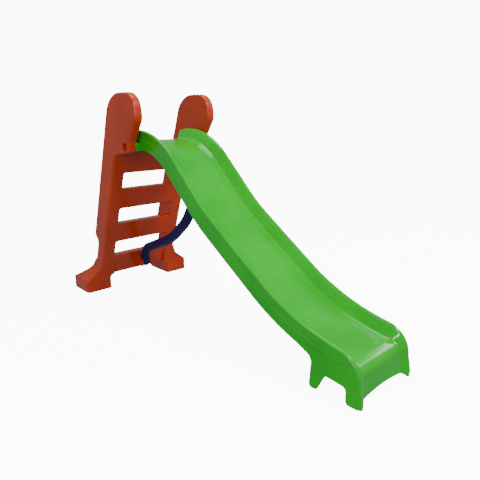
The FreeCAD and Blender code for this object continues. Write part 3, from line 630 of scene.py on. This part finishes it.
# ------------------------------------------------------------------ chute
@dataclass
class Chute:
    """The waved chute moulding with its lips, bead, skirts, feet and lugs."""

    crest_radius: float = 318.0
    steep_slope: float = -43.9
    steep_length: float = 192.0
    upper_radius: float = 855.0
    middle_slope: float = -33.7
    middle_length: float = 282.4545
    runout_radius: float = 832.0
    runout_slope: float = -10.4
    runout_length: float = 34.0
    nose_radius: float = 59.7
    front_slope: float = -83.0
    skin: float = 4.0
    half: float = 146.0
    skirt_foot: float = -50.0
    lip_top: float = 33.0
    lip_brow: float = 30.0
    lip_width: float = 14.0
    bed_height: float = -12.0
    bed_half: float = 107.0
    bed_fillet: float = 14.0
    bed_swell: float = 30.0
    bed_rows: tuple[float, ...] = (-76.0, -57.0, -38.0, -19.0, 0.0, 19.0, 38.0, 57.0, 76.0)
    arch_half: float = 126.0
    arch_side: float = 10.0
    arch_rise: float = 22.0
    tongue_length: float = 66.0
    tongue_half: float = 96.0
    panel_top: float = 132.0
    panel_flare: float = 12.0
    panel_skin: float = 5.0
    boss_radius: float = 20.0
    boss_reach: float = 165.7
    bolt_hole: float = 5.3
    lug_radius: float = 15.0
    lug_inner: float = 21.0
    lug_width: float = 6.0
    lug_along: float = 73.0
    lug_root: float = 24.0
    pin_hole: float = 5.05

    def runs(self) -> list[Run]:
        """The chute line from its rear edge to the ground."""
        plan = [(self.steep_slope, self.crest_radius, 30), (None, self.steep_length, 4),
                (self.middle_slope, self.upper_radius, 10), (None, self.middle_length, 6),
                (self.runout_slope, self.runout_radius, 20), (None, self.runout_length, 2),
                (self.front_slope, self.nose_radius, 24)]
        line: list[Run] = []
        place = CHUTE_START
        slope = CHUTE_START_SLOPE
        for end_slope, size, steps in plan:
            line.append(Run(place, slope, slope if end_slope is None else end_slope, size, steps))
            place = line[-1].end
            slope = line[-1].end_slope
        line.append(Run(place, slope, slope, (place.z + 8.0) / -direction(slope).z, 2))
        return line

    def section(self) -> tuple[list[tuple[float, float]], list[float]]:
        """Half of the section from the skirt's foot to the bed, and its roundings."""
        half = self.half
        skin = self.skin
        skirt = (half - 9.0, self.skirt_foot, 1.2)
        bead = [(half - 7.0, -17.0, 2.0), (half - 3.2, -14.0, 1.8), (half - 3.0, -8.5, 1.8),
                (half - 5.6, -5.0, 2.0)]
        lip = [(half, 27.0, 4.0), (half - 7.0, self.lip_top, 5.0),
               (half - self.lip_width, self.lip_brow, 4.0)]
        upper = [skirt, *bead, *lip, (self.bed_half, self.bed_height, self.bed_fillet)]
        hollow = [(half - 17.6, 26.4, 1.5), (half - 7.0, 28.4, 1.5), (half - 4.6, 26.0, 1.5)]
        under = [(self.bed_half - 2.0, self.bed_height - skin, self.bed_fillet + skin), *hollow,
                 (half - 11.0, -12.0, 2.0), (half - 13.0, self.skirt_foot, 1.2)]
        corners = [(y, h) for y, h, _ in upper]
        radii = [r for _, _, r in upper]
        bed = [(y, self.bed_height) for y in self.bed_rows]
        corners += bed[::-1] + [(-y, h) for y, h in corners[::-1]]
        radii += [0.0] * len(bed) + radii[::-1]
        beneath = [(y, h) for y, h, _ in under]
        beneath_radii = [r for _, _, r in under]
        flat = [(y, self.bed_height - self.skin) for y in self.bed_rows]
        corners += [(-y, h) for y, h in beneath[::-1]] + flat + beneath
        radii += beneath_radii[::-1] + [0.0] * len(flat) + beneath_radii
        return corners, radii

    def shell(self) -> Form:
        """The skin swept down the chute line."""
        corners, radii = self.section()
        place = CHUTE_START
        standing = [place + upwards(CHUTE_START_SLOPE) * h + SIDEWAYS * y for y, h in corners]
        line = self.runs()
        form = swept(standing, radii, line, 6, self.to_ground)
        nose, front = line[-2:]
        for vert in form.mesh.verts:
            if (vert.co - nose.start).dot(direction(nose.slope)) < -0.1:
                continue
            if (vert.co - front.start).dot(direction(front.slope)) > 0.0:
                up = upwards(front.slope)
                height = (vert.co - front.start).dot(up)
                share = 1.0
            else:
                spoke = vert.co - nose.centre
                spoke.y = 0.0
                up = spoke.normalized()
                height = spoke.length - nose.size
                share = up.angle(upwards(nose.slope)) / math.radians(nose.slope - front.slope)
            self.shape_nose(vert, up, height, min(share, 1.0))
        return form

    def shape_nose(self, vert: BMVert, up: Vector, height: float, share: float) -> None:
        """Let the bed swell towards the lips over the nose, and end the bead before it.

        Args:
            vert: A point of the shell at the nose or below it.
            up: The way square to the chute there.
            height: The point's height over the chute line.
            share: How far round the nose it lies, from 0 to 1.
        """
        wide = abs(vert.co.y)
        ease = share * share * (3.0 - 2.0 * share)
        if wide < self.half - self.lip_width - 0.1:
            depth = (self.lip_brow - height) / (self.lip_brow - self.bed_height)
            vert.co += up * self.bed_swell * ease * min(max(depth, 0.0), 1.0)
        elif wide > self.half - 7.0 and -16.5 < height < -6.0:
            fade = min(share * 8.0, 1.0)
            flush = self.half - 6.6
            vert.co.y = math.copysign(wide + (flush - wide) * fade, vert.co.y)

    def to_ground(self, point: Vector) -> Vector:
        """Trim a point of the front edge to the ground, or to the low arch.

        Args:
            point: The point at the end of the sweep.

        Returns:
            Its place on the trimmed edge.
        """
        share = min(abs(point.y) / self.arch_half, 1.0)
        arch = self.arch_rise - (self.arch_rise - self.arch_side) * share ** 2
        side = min(max((self.arch_half + 6.0 - abs(point.y)) / 10.0, 0.0), 1.0)
        height = arch * side * side * (3.0 - 2.0 * side)
        return point + direction(self.front_slope) * ((point.z - height) / -direction(self.front_slope).z)

    def nose(self, ahead: float, z: float) -> Vector:
        """A side-view point measured forward from where the nose bend begins."""
        return at(self.runs()[-2].start.x + ahead, z)

    def arch(self, foot: float) -> list[Vector]:
        """The side arch between heel and toe, its legs drawn down to a height."""
        return [self.nose(-69.0, foot), self.nose(-43.0, 58.0), self.nose(32.0, 50.0), self.nose(38.0, foot)]

    def panel(self) -> Form:
        """The left panel with its heel, arch and toe."""
        heel = [self.nose(-183.0, self.panel_top), self.nose(-111.0, 101.0), self.nose(-101.0, 84.0),
                self.nose(-101.0, 0.0)]
        toe = [self.nose(90.0, 0.0), self.nose(82.0, 60.0), self.nose(51.0, 108.0),
               self.nose(-1.0, self.panel_top)]
        outline = [*heel, *self.arch(0.0), *toe]
        radii = [0.0, 14.0, 6.0, 13.0, 13.0, 12.0, 12.0, 13.0, 13.0, 20.0, 20.0, 0.0]
        inner = self.half - 7.0 - self.panel_skin
        moved = [point + SIDEWAYS * inner for point in outline]
        form = plate(moved, radii, SIDEWAYS * self.panel_skin, 8)
        lean = Matrix.Identity(4)
        lean[1][2] = -self.panel_flare / self.panel_top
        lean[1][3] = self.panel_flare
        bmesh.ops.transform(form.mesh, matrix=lean, verts=form.mesh.verts[:])
        return form.soften(1.8, 3, 60.0)

    def arch_tool(self) -> Form:
        """What the left arch takes out of the skirt."""
        rear, *top, front = self.arch(0.0)
        below = at(0.0, -24.0)
        outline = [rear + below, rear, *top, front, front + below]
        moved = [point + SIDEWAYS * (self.bed_half + self.bed_fillet) for point in outline]
        return plate(moved, [0.0, 0.0, 12.0, 12.0, 0.0, 0.0], SIDEWAYS * 42.0, 8)

    def tongue(self) -> Form:
        """The flap behind the chute that bears on the ladder."""
        place = CHUTE_START
        back = direction(CHUTE_START_SLOPE) * -self.tongue_length
        over = direction(CHUTE_START_SLOPE) * 2.0
        low = upwards(CHUTE_START_SLOPE) * (self.bed_height - self.skin)
        high = upwards(CHUTE_START_SLOPE) * self.bed_height
        corners = [place + back + low, place + back + high, place + over + high, place + over + low]
        moved = [corner - SIDEWAYS * self.tongue_half for corner in corners]
        return plate(moved, [1.5, 1.5, 0.0, 0.0], SIDEWAYS * 2.0 * self.tongue_half).soften(1.2, 2, 60.0)

    def boss(self) -> Form:
        """The left pivot boss."""
        inner = self.half - 17.0
        return across(FOLD_PIVOT, self.boss_radius, inner, self.boss_reach).soften(1.0, 2, 60.0)

    def lug(self) -> Form:
        """The left rib that holds the strut's hinge pin."""
        steep = self.runs()[1]
        along = direction(self.steep_slope)
        root = steep.start + along * self.lug_along - upwards(self.steep_slope) * (2.0 - self.bed_height)
        corners = [root - along * self.lug_root, root + along * self.lug_root,
                   STRUT_HEAD + along * self.lug_radius, STRUT_HEAD - along * self.lug_radius]
        web = plate([c + SIDEWAYS * self.lug_inner for c in corners], [0.0] * 4, SIDEWAYS * self.lug_width)
        eye = across(STRUT_HEAD, self.lug_radius, self.lug_inner, self.lug_inner + self.lug_width)
        return web.joined(eye)

    def build(self, finish: bpy.types.Material) -> None:
        """Make the chute and dress it.

        Args:
            finish: The green plastic.
        """
        arch = self.arch_tool()
        body = self.shell().cut(arch, arch.mirrored())
        added = [self.panel(), self.boss(), self.lug()]
        body = body.joined(*added, *[form.mirrored() for form in added], self.tongue())
        bolt = across(FOLD_PIVOT, self.bolt_hole, -170.0, 170.0)
        pin = across(STRUT_HEAD, self.pin_hole, -60.0, 60.0)
        body = body.cut(bolt, pin)
        seat(body.settled("chute_moulding"), finish, Body.CHUTE, Slot.GREEN, "chute")


# ------------------------------------------------------------------ ladder
@dataclass
class Ladder:
    """The hollow ladder moulding with its rungs, feet and ears."""

    lean: float = 0.338
    rail_inner: float = 147.0
    rail_width: float = 60.0
    rail_depth: float = 112.0
    shin_depth: float = 73.0
    web_depth: float = 54.0
    rung_z: float = 68.0
    foot_inner: float = 168.0
    foot_spread: float = 123.0
    foot_top: float = 150.0
    foot_gap: float = 0.4
    foot_rear: float = 119.0
    foot_front: float = 41.0
    seat_depth: float = 16.3
    ear_thickness: float = 39.0
    ear_top: float = 922.0
    throat: float = 661.0
    recess_radius: float = 17.0
    recess_depth: float = 20.0
    bush_hole: float = 8.13
    first_window: float = 165.0
    window_height: float = 75.0
    pitch: float = 170.0
    windows: int = 3

    @property
    def rail_outer(self) -> float:
        """The rails' outer faces."""
        return self.rail_inner + self.rail_width

    def face_x(self, z: float) -> float:
        """Where the front face lies at a height."""
        return self.lean * z

    def seat_z(self, behind: float) -> float:
        """Height of the chute's seat, this far behind the front face."""
        under = CHUTE_START - upwards(CHUTE_START_SLOPE) * self.seat_depth
        rise = math.tan(math.radians(CHUTE_START_SLOPE))
        return (under.z - (behind + under.x) * rise) / (1.0 - self.lean * rise)

    def over_seat(self) -> Form:
        """What lies over the chute's seat and before the rail, inside the left ear."""
        front_top = self.seat_z(0.0)
        rear_top = self.seat_z(self.rail_depth + 40.0)
        low = self.throat - 31.0
        high = self.ear_top + 58.0
        ahead = 500.0
        corners = [at(self.face_x(low) + SEAM_GAP, low), at(self.face_x(front_top) + SEAM_GAP, front_top),
                   at(self.face_x(rear_top) - self.rail_depth - 40.0, rear_top), at(0.0, high),
                   at(ahead, high), at(ahead, low)]
        reach = self.rail_width - self.ear_thickness
        return plate([c + SIDEWAYS * (self.rail_inner - 10.0) for c in corners], [0.0] * 6,
                     SIDEWAYS * (reach + 10.0))

    def rear_step(self) -> list[Vector]:
        """The corners down the rear of a rail."""
        return [at(self.face_x(270.0) - self.rail_depth, 270.0),
                at(self.face_x(240.0) - self.shin_depth, 240.0),
                at(self.face_x(self.rung_z) - self.shin_depth, self.rung_z)]

    def upright(self, edge: BMEdge) -> bool:
        """True for an edge that keeps to one side face, above the foot."""
        flat = abs(edge.verts[0].co.y - edge.verts[1].co.y) < 0.5
        return flat and max(vert.co.z for vert in edge.verts) > self.rung_z + 1.0

    def foot(self) -> Form:
        """The left foot with its swept top."""
        top = self.foot_top
        gap = self.foot_gap
        top_front = self.face_x(top) - gap
        top_rear = top_front - self.shin_depth + 2.0 * gap
        inner = self.rail_inner
        outer = self.foot_inner + self.foot_spread
        side = [at(-self.foot_rear, 0.0), at(self.foot_front, 0.0), at(self.foot_front, 76.0),
                at(top_front, top), at(top_rear, top), at(top_rear - 22.0, 100.0),
                at(-self.foot_rear, 45.0)]
        side_view = plate([p + SIDEWAYS * self.rail_inner for p in side],
                          [0.0, 0.0, 14.0, 0.0, 0.0, 60.0, 20.0], SIDEWAYS * 160.0, 8)
        x = -self.foot_rear - 15.0
        front = [Vector((x, self.foot_inner, -5.0)), Vector((x, outer, -5.0)), Vector((x, outer, 55.0)),
                 Vector((x, self.rail_outer + 12.0, 110.0)), Vector((x, self.rail_outer - gap, top)),
                 Vector((x, inner + gap, top)), Vector((x, inner + gap, self.rung_z - gap)),
                 Vector((x, self.foot_inner, self.rung_z - gap))]
        front_view = plate(front, [0.0, 0.0, 15.0, 40.0, 0.0, 0.0, 0.0, 15.0], Vector((240.0, 0.0, 0.0)), 8)
        rear = SEAM_GAP - self.foot_rear
        ahead = self.foot_front - SEAM_GAP
        plan = [Vector((rear, inner - 5.0, -5.0)), Vector((rear, outer - SEAM_GAP, -5.0)),
                Vector((ahead, outer - SEAM_GAP, -5.0)), Vector((ahead + 30.0, inner - 5.0, -5.0))]
        top_view = plate(plan, [0.0, 26.0, 22.0, 0.0], Vector((0.0, 0.0, 200.0)), 6)
        form = side_view.shared(front_view, top_view)
        return form.soften(5.0, 3, 42.0, self.on_foot, True)

    def on_foot(self, edge: BMEdge) -> bool:
        """True for an edge of the foot, clear of the rail and the ground."""
        heights = [vert.co.z for vert in edge.verts]
        return max(heights) < 140.0 and max(heights) > 3.0 and min(v.co.y for v in edge.verts) > 150.0

    def web(self) -> Form:
        """The rungs and the top panel between the rails."""
        front_top = self.seat_z(0.0)
        rear_top = self.seat_z(self.web_depth)
        low = self.rung_z + SEAM_GAP
        corners = [at(self.face_x(self.rung_z) - SEAM_GAP, low),
                   at(self.face_x(front_top) - SEAM_GAP, front_top - SEAM_GAP),
                   at(self.face_x(rear_top) - self.web_depth, rear_top - SEAM_GAP),
                   at(self.face_x(self.rung_z) - self.web_depth, low)]
        reach = self.rail_inner + 30.0
        form = plate([c - SIDEWAYS * reach for c in corners], [2.5, 4.0, 4.0, 2.5], SIDEWAYS * 2.0 * reach)
        cutters = []
        for index in range(self.windows):
            low = self.first_window + self.pitch * index
            high = low + self.window_height
            half = self.rail_inner + 4.0
            frame_corners = [Vector((-120.0, -half, low)), Vector((-120.0, half, low)),
                             Vector((-120.0, half, high)), Vector((-120.0, -half, high))]
            cutters.append(plate(frame_corners, [5.0, 5.0, 16.0, 16.0], Vector((460.0, 0.0, 0.0)), 8))
        form = form.cut(*cutters)
        return form.soften(3.0, 3, 50.0, self.on_window_rim)

    def on_window_rim(self, edge: BMEdge) -> bool:
        """True for an edge round a window in the front or rear face."""
        middle = (edge.verts[0].co + edge.verts[1].co) / 2.0
        off = middle.x - self.face_x(middle.z) + SEAM_GAP
        on_face = min(abs(off), abs(off + self.web_depth)) < 0.5
        inside = abs(middle.y) < self.rail_inner + 5.0
        last_top = self.first_window + self.pitch * (self.windows - 1) + self.window_height
        between = self.first_window - 1.0 < middle.z < last_top + 1.0
        return on_face and inside and between

    def rail(self) -> Form:
        """The left rail, which rises into the ear, with the recess for the bolt."""
        ear = [at(self.face_x(self.ear_top) - self.rail_depth, self.ear_top), at(398.0, self.ear_top),
               at(412.0, 818.0), at(352.0, 728.0), at(338.0, 680.0)]
        front = [at(self.face_x(z), z) for z in (self.throat, self.rung_z)]
        corners = [*ear, *front, *self.rear_step()[::-1]]
        moved = [corner + SIDEWAYS * self.rail_inner for corner in corners]
        form = plate(moved, [110.0, 72.0, 45.0, 60.0, 14.0, 24.0, 0.0, 0.0, 20.0, 20.0],
                     SIDEWAYS * self.rail_width, 12)
        form.soften(10.0, 5, 60.0, self.on_outer_face)
        form.soften(3.0, 3, 60.0, self.on_inner_face)
        form = form.cut(self.over_seat())
        form.soften(8.0, 5, 60.0, self.on_ear_face)
        floor = self.rail_outer - self.recess_depth
        return form.cut(across(FOLD_PIVOT, self.recess_radius, floor, self.rail_outer + 10.0))

    def on_outer_face(self, edge: BMEdge) -> bool:
        """True for an edge of the outer side face, above the foot."""
        return self.upright(edge) and edge.verts[0].co.y > self.rail_outer - 1.0

    def on_inner_face(self, edge: BMEdge) -> bool:
        """True for an edge of the inner side face, above the foot."""
        return self.upright(edge) and edge.verts[0].co.y < self.rail_inner + 1.0

    def on_ear_face(self, edge: BMEdge) -> bool:
        """True for an outer edge of the ear's inner face."""
        place = self.rail_outer - self.ear_thickness
        flat = max(abs(vert.co.y - place) for vert in edge.verts) < 0.1
        return flat and edge.calc_face_angle_signed(0.0) > 0.5

    def build(self, finish: bpy.types.Material) -> None:
        """Make the ladder and dress it.

        Args:
            finish: The orange plastic.
        """
        halves = [self.rail(), self.foot()]
        body = self.web().worked([*halves, *[form.mirrored() for form in halves]], "UNION", True)
        bolt = across(FOLD_PIVOT, self.bush_hole, -220.0, 220.0)
        body = body.cut(bolt)
        seat(body.settled("ladder_moulding"), finish, Body.LADDER, Slot.ORANGE, "ladder")


# ------------------------------------------------------------------ strut
@dataclass
class Strut:
    """The bent strut that ties the ladder to the chute."""

    radius: float = 20.0
    foot: tuple[float, float] = (95.997, 112.0)
    knee_run: tuple[float, float] = (5.0, 72.0)
    low_run: tuple[float, float] = (234.0, 164.0)
    high_run: tuple[float, float] = (-100.0, -185.0)
    bends: tuple[float, float, float] = (55.0, 350.0, 280.0)
    swell: float = 2.5
    sides: int = 32

    def runs(self) -> list[Run]:
        """The strut's centre line as straight runs and bends."""
        foot = at(*self.foot)
        stops = [foot, foot + at(*self.knee_run), foot + at(*self.low_run),
                 STRUT_HEAD + at(*self.high_run), STRUT_HEAD]
        slopes = [math.degrees(math.atan2(b.z - a.z, b.x - a.x)) for a, b in zip(stops, stops[1:])]
        line: list[Run] = []
        place = foot
        for index, radius in enumerate(self.bends, start=1):
            turn = abs(slopes[index] - slopes[index - 1])
            reach = radius * math.tan(math.radians(turn) / 2.0)
            corner = stops[index] - direction(slopes[index - 1]) * reach
            line.append(Run(place, slopes[index - 1], slopes[index - 1], (corner - place).length, 2))
            line.append(Run(corner, slopes[index - 1], slopes[index], radius, max(4, int(turn / 3.0))))
            place = line[-1].end
        line.append(Run(place, slopes[-1], slopes[-1], (STRUT_HEAD - place).length, 2))
        return line

    def build(self, finish: bpy.types.Material) -> None:
        """Make the strut and dress it.

        Args:
            finish: The navy plastic.
        """
        line = self.runs()
        first = line[0]
        lift = upwards(first.slope)
        corners = []
        for index in range(self.sides):
            angle = math.radians(index * 360.0 / self.sides)
            corners.append(first.start + lift * self.radius * math.cos(angle)
                           + SIDEWAYS * self.radius * math.sin(angle))
        body = swept(corners, [0.0] * len(corners), line)
        places = (at(*self.foot), STRUT_HEAD)
        ends = []
        for place in places:
            ball = Form()
            bmesh.ops.create_uvsphere(ball.mesh, u_segments=self.sides, v_segments=20, radius=self.radius,
                                      matrix=Matrix.Translation(place))
            ends.append(ball)
        for vert in body.mesh.verts:
            clear = min((vert.co - place).length for place in places)
            share = min(max((clear - 45.0) / 60.0, 0.0), 1.0)
            vert.co += vert.normal * self.swell * share * share * (3.0 - 2.0 * share)
        body = body.joined(*ends)
        seat(body.settled("strut_bar"), finish, Body.STRUT, Slot.NAVY, "strut")


# ------------------------------------------------------------------ fittings
@dataclass
class Fittings:
    """The catch, bolts, bushes, washers, nuts and pins, which keep their CAD shape."""

    orange: tuple[str, ...] = ("strut_catch", "pivot_bolt_left", "pivot_bolt_right")
    black: tuple[str, ...] = ("strut_hinge_clips", "pivot_bush_left", "pivot_bush_right")

    def build(self, orange: bpy.types.Material, black: bpy.types.Material, zinc: bpy.types.Material) -> None:
        """Dress the carried-over nodes.

        Args:
            orange: The ladder's plastic.
            black: The nylon.
            zinc: The plated steel.
        """
        for name, node in frame["nodes"].items():
            if node.hide_render:
                continue
            finish = orange if name in self.orange else black if name in self.black else zinc
            dress(node, finish)
            LOG.info("%s: dressed in %s", name, finish.name)


# ------------------------------------------------------------------ studio
@dataclass
class Studio:
    """Floor, lights and camera."""

    floor_radius: float = 60.0
    eye: tuple[float, float, float] = (1.42778, -1.22661, 0.83790)
    look: tuple[float, float, float] = (-0.70409, 0.66183, -0.25736)
    lift: tuple[float, float, float] = (-0.1875, 0.1762, 0.9663)
    lens: float = 35.6

    def floor(self, finish: bpy.types.Material) -> None:
        """A wide pale floor that runs up into a wall all round."""
        form = Form()
        bmesh.ops.create_circle(form.mesh, cap_ends=True, segments=96, radius=self.floor_radius)
        rim = [edge for edge in form.mesh.edges if edge.is_boundary]
        wall = bmesh.ops.extrude_edge_only(form.mesh, edges=rim)
        bmesh.ops.translate(form.mesh, verts=[v for v in wall["geom"] if isinstance(v, BMVert)],
                            vec=Vector((0.0, 0.0, self.floor_radius)))
        data = bpy.data.meshes.new("floor")
        form.mesh.to_mesh(data)
        form.mesh.free()
        ground = bpy.data.objects.new("floor", data)
        bpy.context.scene.collection.objects.link(ground)
        dress(ground, finish)
        ground.visible_diffuse = False
        ground.visible_glossy = False
        ground.visible_shadow = False

    def light(self, name: str, place: Sequence[float], size: Sequence[float], power: float,
              aim: Sequence[float] = (0.0, 0.0, 0.4)) -> None:
        """A rectangular soft light.

        Args:
            name: Its name.
            place: Where it hangs.
            size: Its width and height.
            power: Its power in watts.
            aim: The point that it faces.
        """
        data = bpy.data.lights.new(name, "AREA")
        data.shape = "RECTANGLE"
        data.size, data.size_y = size
        data.energy = power
        lamp = bpy.data.objects.new(name, data)
        lamp.location = place
        lamp.rotation_mode = "QUATERNION"
        lamp.rotation_quaternion = (Vector(aim) - Vector(place)).to_track_quat("-Z", "Y")
        bpy.context.scene.collection.objects.link(lamp)

    def camera(self) -> None:
        """The camera at its fixed place."""
        data = bpy.data.cameras.new("view")
        data.lens = self.lens
        data.sensor_width = 36.0
        eye = bpy.data.objects.new("view", data)
        ahead = Vector(self.look).normalized()
        right = ahead.cross(Vector(self.lift)).normalized()
        lift = right.cross(ahead)
        turn = Matrix((right, lift, -ahead)).transposed().to_4x4()
        eye.matrix_world = Matrix.Translation(Vector(self.eye)) @ turn
        bpy.context.scene.collection.objects.link(eye)
        bpy.context.scene.camera = eye

    def build(self) -> None:
        """Set up the studio."""
        self.floor(StudioPaper("backdrop_paper", (0.86, 0.86, 0.86), (0.83, 0.83, 0.83)).material())
        world = bpy.data.worlds.new("studio")
        world.use_nodes = True
        world.node_tree.nodes["Background"].inputs["Color"].default_value = (1.0, 1.0, 1.0, 1.0)
        world.node_tree.nodes["Background"].inputs["Strength"].default_value = 0.4
        bpy.context.scene.world = world
        self.light("key", (2.2, 0.6, 3.4), (0.9, 0.9), 100.0)
        self.light("top", (-0.6, 0.2, 3.6), (1.6, 1.6), 55.0)
        self.light("edge", (0.8, 3.2, 2.2), (2.0, 0.7), 30.0)
        self.light("strip", (1.6, -2.4, 1.5), (0.25, 1.8), 45.0)
        self.camera()


def main() -> None:
    """Build the slide's looks and the studio round it."""
    logging.basicConfig(level=logging.INFO, format="%(name)s %(message)s")
    green = MouldedPlastic("green_polyethylene", (0.003, 0.46, 0.006), (0.002, 0.36, 0.005),
                           (0.012, 0.5, 0.015), (0.09, 0.16), 0.2).material()
    orange = MouldedPlastic("orange_polyethylene", (0.5, 0.036, 0.002), (0.4, 0.026, 0.002),
                            (0.56, 0.06, 0.006), (0.26, 0.38), 0.1).material()
    navy = StrutPlastic("navy_polyethylene", (0.001, 0.001, 0.09), (0.001, 0.001, 0.05)).material()
    black = BlackNylon("black_nylon", (0.02, 0.02, 0.02), (0.05, 0.05, 0.05)).material()
    zinc = ZincSteel("zinc_plated_steel", (0.62, 0.62, 0.6), (0.5, 0.51, 0.5)).material()
    Chute().build(green)
    Ladder().build(orange)
    Strut().build(navy)
    Fittings().build(orange, black, zinc)
    Studio().build()


if __name__ == "__main__":
    main()
